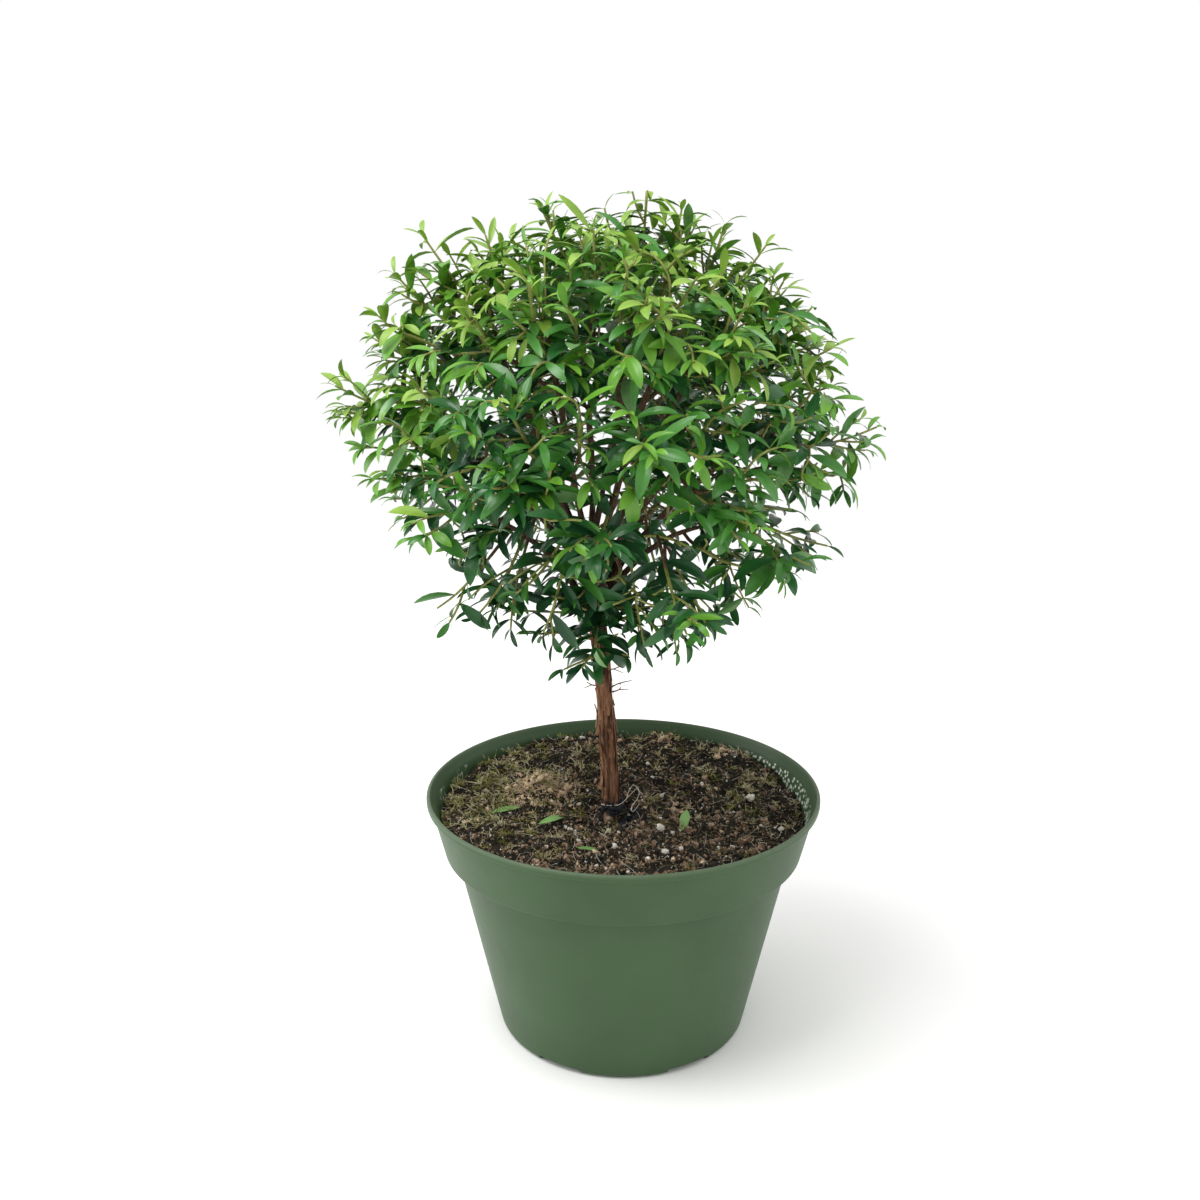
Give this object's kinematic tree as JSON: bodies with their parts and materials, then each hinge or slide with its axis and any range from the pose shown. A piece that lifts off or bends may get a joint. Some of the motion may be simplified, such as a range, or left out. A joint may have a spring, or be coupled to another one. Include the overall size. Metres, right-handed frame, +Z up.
{
  "type": "potted myrtle standard topiary",
  "caption": "Small-leaved myrtle grown as a standard: a bare stem under a shaggy round head of leaves, rooted in a round tapered nursery pot of potting mix.",
  "frame": {"origin": "middle of the pot's flat underside, on the surface the pot stands on", "axes": "+Z up along the pot's axis; -Y is the front, the side the plant is seen from; +X to the right of it"},
  "size_m": [0.226, 0.2064, 0.3468],
  "materials": {
    "pot": "moulded, slightly satin",
    "potting_mix": "loose moist peat and bark crumbs",
    "bark": "fibrous peeling bark",
    "twig": "thin bark",
    "foliage": "small glossy leaves"
  },
  "bodies": {
    "root": {"pot": "pot", "potting_mix": "potting_mix", "stem": "bark", "bough_crest": "twig", "bough_upper_left": "twig", "bough_upper_back": "twig", "bough_upper_right": "twig", "bough_upper_front_right": "twig", "bough_upper_front_left": "twig", "bough_left": "twig", "bough_back_left": "twig", "bough_back_right": "twig", "bough_right": "twig", "bough_front_right": "twig", "bough_front_left": "twig", "bough_lower_left": "twig", "bough_lower_back_left": "twig", "bough_lower_back_right": "twig", "bough_lower_right": "twig", "bough_lower_front": "twig", "mass_crest": "foliage", "mass_upper_left": "foliage", "mass_upper_back": "foliage", "mass_upper_right": "foliage", "mass_upper_front_right": "foliage", "mass_upper_front_left": "foliage", "mass_left": "foliage", "mass_back_left": "foliage", "mass_back_right": "foliage", "mass_right": "foliage", "mass_front_right": "foliage", "mass_front_left": "foliage", "mass_lower_left": "foliage", "mass_lower_back_left": "foliage", "mass_lower_back_right": "foliage", "mass_lower_right": "foliage", "mass_lower_front": "foliage"}
  },
  "joints": []
}
